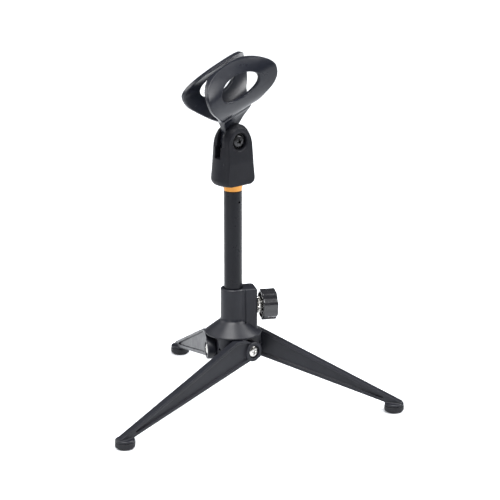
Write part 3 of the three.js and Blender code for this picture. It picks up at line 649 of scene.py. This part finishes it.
def foot(number, normal):
    side = rounded([
        (0, 0), (FOOT_R - FOOT_BEVEL, 0), (FOOT_R, FOOT_BEVEL), (FOOT_R, FOOT_HEIGHT),
        (STEM_R, FOOT_HEIGHT), (STEM_R, STEM_TOP), (0, STEM_TOP),
    ], 0.5, 5)
    shape = moved(lathe(side, 96), turn(normal - 90, "Z") @ shift(FOOT_S, LEG_MID, 0))
    place(build(f"rubber_foot_{number}", shape), BODY_OF[f"foot_{number}"], f"foot_{number}",
          "foot_rubber", sharp=50)


# ---- screws -----------------------------------------------------------------------------------
def cross_head(radius, height):
    """Pan head standing on z = 0 and the two wings of its cross recess."""
    crown = [(radius * math.cos(a), height * (0.3 + 0.7 * math.sin(a)))
             for a in (math.pi / 2 * i / 12 for i in range(12))]
    dome = lathe([(0, 0), (radius, 0), *crown, (0, height)], 64)
    wing = radius * 0.6
    half = radius * 0.14
    floor = height * 0.25
    above = height + OVER
    slope = [(-wing * 0.45, floor), (wing * 0.45, floor), (wing * 1.05, above), (-wing * 1.05, above)]
    bar = upright(slope, -half, half)
    return dome, [bar, moved(bar, turn(90, "Z"))]


def screw(name, radius, height, shank_r, tip, seat, spin, matrix, *piece):
    """Screw along +Z, its head on seat and its point at tip, taken to its place by matrix.

    piece is what place() takes: the body, the CAD node and the slot.
    """
    dome, wings = cross_head(radius, height)
    set_up = shift(0, 0, seat) @ turn(spin, "Z")
    obj = build(name, moved(dome, set_up))
    root = shank_r - SCREW_THREAD_DEPTH
    ridges = [(0, tip), (shank_r - SCREW_POINT, tip)]
    z = tip + 0.6
    while z < seat - SCREW_PITCH:
        ridges += [(root, z), (shank_r, z + SCREW_PITCH / 2)]
        z += SCREW_PITCH
    ridges += [(root, z), (shank_r, seat - 0.2), (shank_r, seat + 0.4), (0, seat + 0.4)]
    join(obj, lathe(ridges, 48))
    cut(obj, *[moved(w, set_up) for w in wings])
    cast(obj, *SCREW_FORMING)
    obj.data.transform(matrix)
    place(obj, *piece)


# ---- mast -----------------------------------------------------------------------------------
def mast():
    inner = TUBE_R - TUBE_WALL
    loop = rounded([(TUBE_R, TUBE_BOTTOM), (TUBE_R, TUBE_TOP), (inner, TUBE_TOP), (inner, TUBE_BOTTOM)],
                   TUBE_EDGE, 4, closed=True)
    tube = build("mast_tube_wall", lathe(loop, 128))
    dimple = along_x(rod(CRIMP_R, TUBE_R / 2, TUBE_R + OVER, 32), z=CRIMP_Z)
    cut(tube, moved(dimple, turn(CRIMP_AZIMUTH, "Z")))
    place(tube, "mast", "mast_tube", "satin_black", sharp=35, finish="tube_black")


def brass_stud():
    spigot = TUBE_R - TUBE_WALL - GAP / 2
    foot0 = TUBE_TOP + GAP / 2
    top = foot0 + SHOULDER_HEIGHT
    root = THREAD_R - THREAD_DEPTH
    profile = [(0, foot0 - SPIGOT_LENGTH), (spigot - 0.6, foot0 - SPIGOT_LENGTH),
               (spigot, foot0 - SPIGOT_LENGTH + 0.6), (spigot, foot0)]
    profile += rounded([(spigot, foot0), (TUBE_R, foot0), (TUBE_R + 0.12, foot0 + 0.4),
                        (SHOULDER_R, top - 0.4), (SHOULDER_R - 0.4, top), (THREAD_R, top)], 0.25, 4)
    z = top + 0.3
    while z < STUD_TOP - 1.6:
        crest = z + THREAD_PITCH / 2
        profile += [(root, z + 0.1), (THREAD_R, crest), (THREAD_R, crest + 0.15)]
        z += THREAD_PITCH
    profile += [(root, z), (THREAD_R - 1, STUD_TOP), (0, STUD_TOP)]
    place(build("brass_stud", lathe(profile, 96)), "mast", "mast_thread_stud", "brass", sharp=30)


# ---- clamp ----------------------------------------------------------------------------------
def on_clamp(shape):
    return along_x(shape, z=CLAMP_Z)


def clamp_knob():
    steps = LOBES * 24

    def lobed(radius, x):
        ring = []
        for i in range(steps):
            a = 2 * math.pi * i / steps
            wave = 0.5 - 0.5 * math.cos(LOBES * (a + math.radians(KNOB_TURN)))
            r = radius - SCALLOP * wave ** SCALLOP_POWER
            ring.append((r * math.cos(a), r * math.sin(a), x))
        return ring

    bore = INSERT_R + GAP / 2
    floor = KNOB_START + CUP_DEPTH
    inner = KNOB_R - KNOB_EDGE
    quarter = [math.pi / 2 * i / 6 for i in range(7)]
    rings = [circle(0.01, INSERT_END + GAP, steps), circle(bore, INSERT_END + GAP, steps),
             circle(bore, floor, steps), circle(CUP_R - CUP_EDGE, floor, steps),
             circle(CUP_R, floor - CUP_EDGE, steps), circle(CUP_R, KNOB_START + 0.2, steps),
             circle(CUP_R + 0.2, KNOB_START, steps)]
    rings += [lobed(inner + KNOB_EDGE * math.sin(a), KNOB_START + 0.8 * KNOB_EDGE * (1 - math.cos(a)))
              for a in quarter]
    rings += [lobed(KNOB_R - 0.1, (KNOB_START + KNOB_END) / 2)]
    rings += [lobed(inner + KNOB_EDGE * math.cos(a), KNOB_END - KNOB_EDGE + KNOB_EDGE * math.sin(a))
              for a in quarter]
    dish = ((7.1, 0), (6.85, 0.08), (6.5, 0.65), (6.2, 0.8), (3.0, 0.85), (0.01, 0.86))
    rings += [circle(r, KNOB_END - depth, steps) for r, depth in dish]
    place(build("lobed_knob", on_clamp(bands(rings))), "knob", "clamp_knob", "knob_plastic", sharp=40)


def clamp_collar():
    bite = (0, 0, 0.15, 0.75, 1, 1, 0.75, 0.15)  # depth of the knurl through one tooth
    count = KNURL_TEETH * len(bite)
    face = KNOB_START - GAP

    def knurl(inset, x):
        ring = []
        for i in range(count):
            a = 2 * math.pi * i / count
            r = KNURL_R - inset - KNURL_DEPTH * 1.3 * bite[i % len(bite)]
            ring.append((r * math.cos(a), r * math.sin(a), x))
        return ring

    rings = [knurl(0.4, COLLAR_START), knurl(0, COLLAR_START + 0.35), knurl(0, face - 0.35),
             knurl(0.4, face), circle(INSERT_R, face, count), circle(INSERT_R, INSERT_END, count),
             circle(KNURL_BORE_R, INSERT_END, count), circle(KNURL_BORE_R, COLLAR_START, count)]
    collar = build("knurled_collar", on_clamp(bands(rings, closed=True)))
    place(collar, "knob", "clamp_collar", "nickel", sharp=40)


# ---- clip base, drawn with the slot along X and the screw head facing -Y ----------------------
def clip_base():
    dome = lathe([
        (0, BASE_BOTTOM), (11.7, BASE_BOTTOM), (13.2, BASE_BOTTOM + 0.9), (14, BASE_BOTTOM + 2.2),
        (14.3, BASE_BOTTOM + 3.6), (13.6, 161.5), (12.9, 172), (12.5, 177.5), (11.9, 180.6),
        (11, 183), (9.5, 185.8), (7.6, 188), (5, 190), (0, 191.3),
    ], 160)

    def ear(radius, y):
        bottom = BASE_BOTTOM - OVER
        shoulder = TILT_Z - 3
        outline = [(-BASE_REACH, bottom), (BASE_REACH, bottom), (BASE_REACH, shoulder),
                   (radius + 0.4, shoulder), *arc(0, TILT_Z, radius, 0, 180, 64),
                   (-radius - 0.4, shoulder), (-BASE_REACH, shoulder)]
        return [(x, y, z) for x, z in outline]

    edge = FLAT_TOP - EAR_EDGE
    ears = bands([ear(EAR_R - 2 * EAR_EDGE, -edge - 2 * EAR_EDGE), ear(EAR_R, -edge),
                  ear(EAR_R, edge), ear(EAR_R - 2 * EAR_EDGE, edge + 2 * EAR_EDGE)])
    side = [(-FLAT_BOTTOM, BASE_BOTTOM - 0.1), (FLAT_BOTTOM, BASE_BOTTOM - 0.1), (FLAT_TOP, TILT_Z),
            (FLAT_TOP, TILT_Z + BASE_REACH), (-FLAT_TOP, TILT_Z + BASE_REACH), (-FLAT_TOP, TILT_Z)]
    flats = bands([[(x, y, z) for y, z in side] for x in (-BASE_REACH, BASE_REACH)])
    half = SLOT_WIDTH / 2
    obj = keep(build("clevis_moulding", dome), ears, flats)
    recess = lathe([
        (0, -20), (BASE_RECESS_R + 0.5, -20), (BASE_RECESS_R + 0.5, -FLAT_TOP - 0.2),
        (BASE_RECESS_R, -FLAT_TOP + 0.5), (BASE_RECESS_R, -SEAT), (0, -SEAT),
    ], 96)
    cut(obj, block(-20, 20, -half, half, SLOT_BOTTOM, 200),
        along_y(rod(TILT_SHANK_R + GAP, -20, 20), z=TILT_Z),
        along_y(recess, z=TILT_Z),
        along_y(rod((NUT_FLATS / 2 + GAP) * HEX_CORNER, SEAT, 20, 6), z=TILT_Z),
        rod(SOCKET_R, BASE_BOTTOM - OVER, SOCKET_TOP, 96), rod(STUD_HOLE_R, BASE_BOTTOM, STUD_HOLE_TOP, 64))
    cast(obj, *BASE_MOULDING)
    obj.data.transform(turn(CLIP_AZIMUTH, "Z"))
    place(obj, "clip_head", "clip_base", "base_plastic")


# ---- mic clip, drawn flat: +X along the microphone, +Z away from the tilt screw -----------------
def jaw_middle(travel, width):
    """Point of the wall's middle line: 0 at the top edge, 1 at the seam between the jaws."""
    if travel < JAW_SPLIT:
        z = JAW_TOP * (1 - travel / JAW_SPLIT)
        return (1 - JAW_CURL * (z / JAW_TOP) ** JAW_CURL_POWER) * width, z
    angle = (travel - JAW_SPLIT) / (1 - JAW_SPLIT) * math.pi / 2
    power = 2 / JAW_SEAM_POWER
    return max(math.cos(angle), 0) ** power * width, -JAW_SEAM * math.sin(angle) ** power


def jaw_wall(side):
    """One jaw as an even wall along its middle line, on the side of +Y or -Y."""
    steps = 56
    stations = 40
    reach = JAW_HALF_LENGTH + JAW_OVERRUN
    rings = []
    for k in range(stations + 1):
        x = -reach + 2 * reach * k / stations
        width = JAW_WIDTH + JAW_TAPER * x + JAW_FLARE * (x / JAW_HALF_LENGTH) ** 2
        middle = [jaw_middle(i / steps, width) for i in range(steps)] + [(-0.4, -JAW_SEAM)]
        outer = []
        inner = []
        for i, (y, z) in enumerate(middle):
            a = middle[max(i - 1, 0)]
            b = middle[min(i + 1, steps)]
            length = math.hypot(b[0] - a[0], b[1] - a[1])
            dy = (a[1] - b[1]) / length * JAW_WALL / 2
            dz = (b[0] - a[0]) / length * JAW_WALL / 2
            outer.append((x, side * (y + dy), z + dz))
            inner.append((x, side * (y - dy), z - dz))
        rings.append(outer + inner[::-1])
    count = len(rings[0])
    verts = [p for ring in rings for p in ring]
    faces = []
    for k in range(stations):
        a = k * count
        b = a + count
        faces += [(a + i, a + (i + 1) % count, b + (i + 1) % count, b + i) for i in range(count)]
    last = stations * count
    for i in range(steps):
        m = count - 1 - i
        faces += [(i, m, m - 1, i + 1), (last + i, last + i + 1, last + m - 1, last + m)]
    return verts, faces


def jaw_side():
    """Egg-shaped side view of the jaws, taller below the middle than above it."""
    steps = 144
    power = 2 / JAW_SQUARENESS
    points = []
    for i in range(steps):
        c = math.cos(2 * math.pi * i / steps)
        d = math.sin(2 * math.pi * i / steps)
        tall = (JAW_TOP if d > 0 else JAW_DROP) + JAW_MARGIN
        points.append((math.copysign(abs(c) ** power, c) * (JAW_HALF_LENGTH + JAW_MARGIN),
                       math.copysign(abs(d) ** power, d) * tall))
    return points


def mic_clip():
    skirt = [(-23.4, -11.6), (KEEL_FRONT - 1.2, KEEL_Z - KEEL_R), (KEEL_BACK, KEEL_Z - KEEL_R), (21, -13)]
    sides = join(build("side_shape", upright(jaw_side(), -FAR, FAR)), upright(skirt, -FAR, FAR))
    window = [(WINDOW_X + WINDOW_HALF_LENGTH * math.cos(a), WINDOW_Z + WINDOW_HALF_HEIGHT * math.sin(a))
              for a in (math.pi * i / 48 for i in range(96))]
    obj = join(build("clip_moulding", jaw_wall(1)), jaw_wall(-1))
    keep(obj, taken(sides))
    cut(obj, upright(window, -FAR, FAR))
    join(obj, along_x(rod(KEEL_R, KEEL_FRONT, KEEL_BACK, 48), z=KEEL_Z))
    obj.data.transform(shift(JAW_X, 0, JAW_Z))

    seam = JAW_Z + KEEL_Z
    front = JAW_X + KEEL_FRONT
    half = TONGUE / 2
    neck_line = [(front - 0.6, 6), (5.2, 6), (7.2, 8.7), (12.6, 11.6), (17.6, 14.2), (19.2, seam - 1),
                 (19.2, seam), (front, seam)]
    flare = [(half, 8), (half, 11.8), (half + 0.7, 14), (NECK_HALF, 16), (NECK_HALF, seam + 1)]
    section = flare + [(-y, z) for y, z in reversed(flare)]
    neck = keep(build("neck", upright(neck_line, -8, 8)),
                bands([[(x, y, z) for y, z in section] for x in (-6, 24)]))
    cut(neck, along_y(rod(NECK_CLEAR_R, -12, 12, 96)))
    join(obj, taken(neck), upright(neck_line, -half, half), along_y(rod(TONGUE_R, -half, half, 96)))
    cut(obj, along_y(rod(TILT_SHANK_R + GAP, -12, 12)))
    cast(obj, *CLIP_MOULDING)
    obj.data.transform(turn(CLIP_AZIMUTH, "Z") @ shift(0, 0, TILT_Z) @ turn(-CLIP_TILT, "Y"))
    place(obj, "clip", "mic_clip", "clip_plastic")


def tilt_nut():
    seat = SEAT + GAP / 2
    top = seat + NUT_THICK
    r = NUT_FLATS / 2 * HEX_CORNER
    obj = build("hex_nut", rod(r, seat, top, 6))
    chamfer = [(0, seat - 2), (r - 0.3, seat - 0.2), (r + 0.3, seat + 0.3), (r + 0.3, top - 0.3),
               (r - 0.5, top + 0.1), (0, top + 2)]
    keep(obj, lathe(chamfer, 96))
    cut(obj, rod(TILT_SHANK_R + GAP, seat - OVER, top + OVER))
    cast(obj, *NUT_FORMING)
    obj.data.transform(turn(CLIP_AZIMUTH, "Z") @ shift(0, 0, TILT_Z) @ turn(-90, "X"))
    place(obj, "clip_head", "clip_tilt_nut", "black_steel")


# ---- assembly -----------------------------------------------------------------------------------
BODY_OF = {node: body for body, nodes in frame["record"]["behaviour"]["bodies"].items() for node in nodes}
SLOT_OF = {part["node"]: part["material_slot"] for part in frame["record"]["subparts"]}
# Pieces that keep their CAD mesh: inside the stand, or all but hidden.
CAD_MESHES = ["leg_washer_1", "leg_washer_2", "leg_washer_3", "clamp_shoe", "clamp_stud",
              "clip_thread_insert"]


def leg_screw(number, normal):
    across = turn(normal - 90, "Z") @ shift(PIVOT_S, 0, PIVOT_Z) @ turn(-90, "X")
    spin = HEAD_SPIN + HEAD_SPIN_STEP * (number - 1)
    screw(f"pan_head_screw_{number}", HEAD_R, HEAD_H, SHANK_R, SCREW_TIP, HEAD_SEAT + GAP / 2, spin,
          across, "stand", f"leg_screw_{number}", "nickel")


def tilt_screw():
    across = turn(CLIP_AZIMUTH, "Z") @ shift(0, 0, TILT_Z) @ turn(90, "X")
    tip = -(SEAT + NUT_THICK + TILT_TIP_PAST_NUT)
    screw("tilt_screw", TILT_HEAD_R, TILT_HEAD_H, TILT_SHANK_R, tip, SEAT + GAP / 2, TILT_HEAD_SPIN,
          across, "clip_head", "clip_tilt_screw", "black_steel")


hub()
for number, normal in enumerate(LEG_NORMALS, 1):
    leg(number, normal)
    foot(number, normal)
    leg_screw(number, normal)
mast()
brass_stud()
clamp_knob()
clamp_collar()
clip_base()
tilt_screw()
tilt_nut()
mic_clip()
for name in CAD_MESHES:
    piece = frame["nodes"][name]
    for holder in piece.material_slots:
        holder.material = LOOKS[SLOT_OF[name]]

# ---- camera, floor and light ----------------------------------------------------------------------
WORLD_STRENGTH = 0.1
FLOOR_HALF = 9.0  # metres
FLOOR_THICK = 0.02
LIGHT_AIM = (0, 0, 110)  # middle of the stand, for from_view()

eye = bpy.data.cameras.new("camera")
eye.lens = LENS_MM
eye.sensor_width = SENSOR_MM
eye.clip_start = NEAREST
eye.clip_end = FARTHEST
camera = bpy.data.objects.new("camera", eye)
camera.location = from_view(*CAMERA_AT)
camera.rotation_euler = (math.radians(90 - VIEW_DROP), 0, math.radians(-VIEW_TURN))
bpy.context.scene.collection.objects.link(camera)
bpy.context.scene.camera = camera


def soft_light(name, at, size, power):
    """White softbox that looks at the middle of the stand: at is for from_view(), size is in metres."""
    lamp = bpy.data.lights.new(name, "AREA")
    lamp.shape = "RECTANGLE"
    lamp.size = size[0]
    lamp.size_y = size[1]
    lamp.energy = power
    obj = bpy.data.objects.new(name, lamp)
    obj.location = from_view(*at)
    obj.rotation_euler = (obj.location - from_view(*LIGHT_AIM)).to_track_quat("Z", "Y").to_euler()
    bpy.context.scene.collection.objects.link(obj)


def sun(name, azimuth, elevation, strength, spread):
    """Even light from far away; azimuth runs from the camera's side towards its left."""
    lamp = bpy.data.lights.new(name, "SUN")
    lamp.energy = strength
    lamp.angle = math.radians(spread)
    obj = bpy.data.objects.new(name, lamp)
    a = math.radians(azimuth)
    e = math.radians(elevation)
    toward = from_view(-math.sin(a) * math.cos(e), -math.cos(a) * math.cos(e), math.sin(e)) - MAST
    obj.rotation_euler = toward.to_track_quat("Z", "Y").to_euler()
    bpy.context.scene.collection.objects.link(obj)
    return obj


key = sun("overhead", 48, 74, 3.9, 24)
floor_glow = sun("floor_glow", 0, 90, 3.25, 150)
soft_light("strip_left", (-470, -780, 300), (0.07, 0.4), 2.0)
soft_light("box_front", (60, -420, 1150), (0.26, 0.26), 7)
soft_light("box_left", (-800, 260, 560), (0.4, 0.5), 4)
soft_light("box_right", (720, 120, 820), (0.5, 0.5), 13)

world = bpy.data.worlds.new("studio")
bpy.context.scene.world = world
world.use_nodes = True
sky = world.node_tree
back = sky.nodes["Background"]
back.inputs["Color"].default_value = (1, 1, 1, 1)
back.inputs["Strength"].default_value = WORLD_STRENGTH

ground = build("floor", block(-FLOOR_HALF, FLOOR_HALF, -FLOOR_HALF, FLOOR_HALF, -FLOOR_THICK, 0))
paper = look("pale_floor", (0.83, 0.85, 0.88), 0.7, tint=(0.84, 0.86, 0.89), grain=400, relief=0.002,
             waves=2)
ground.data.materials.append(paper)

# The key light leaves the floor to its own glow, so the paper stays evenly pale.
only_floor = bpy.data.collections.new("only_floor")
only_floor.objects.link(ground)
floor_glow.light_linking.receiver_collection = only_floor
not_floor = bpy.data.collections.new("not_floor")
not_floor.objects.link(ground)
not_floor.collection_objects[0].light_linking.link_state = "EXCLUDE"
key.light_linking.receiver_collection = not_floor

bpy.context.scene.view_settings.view_transform = "Standard"
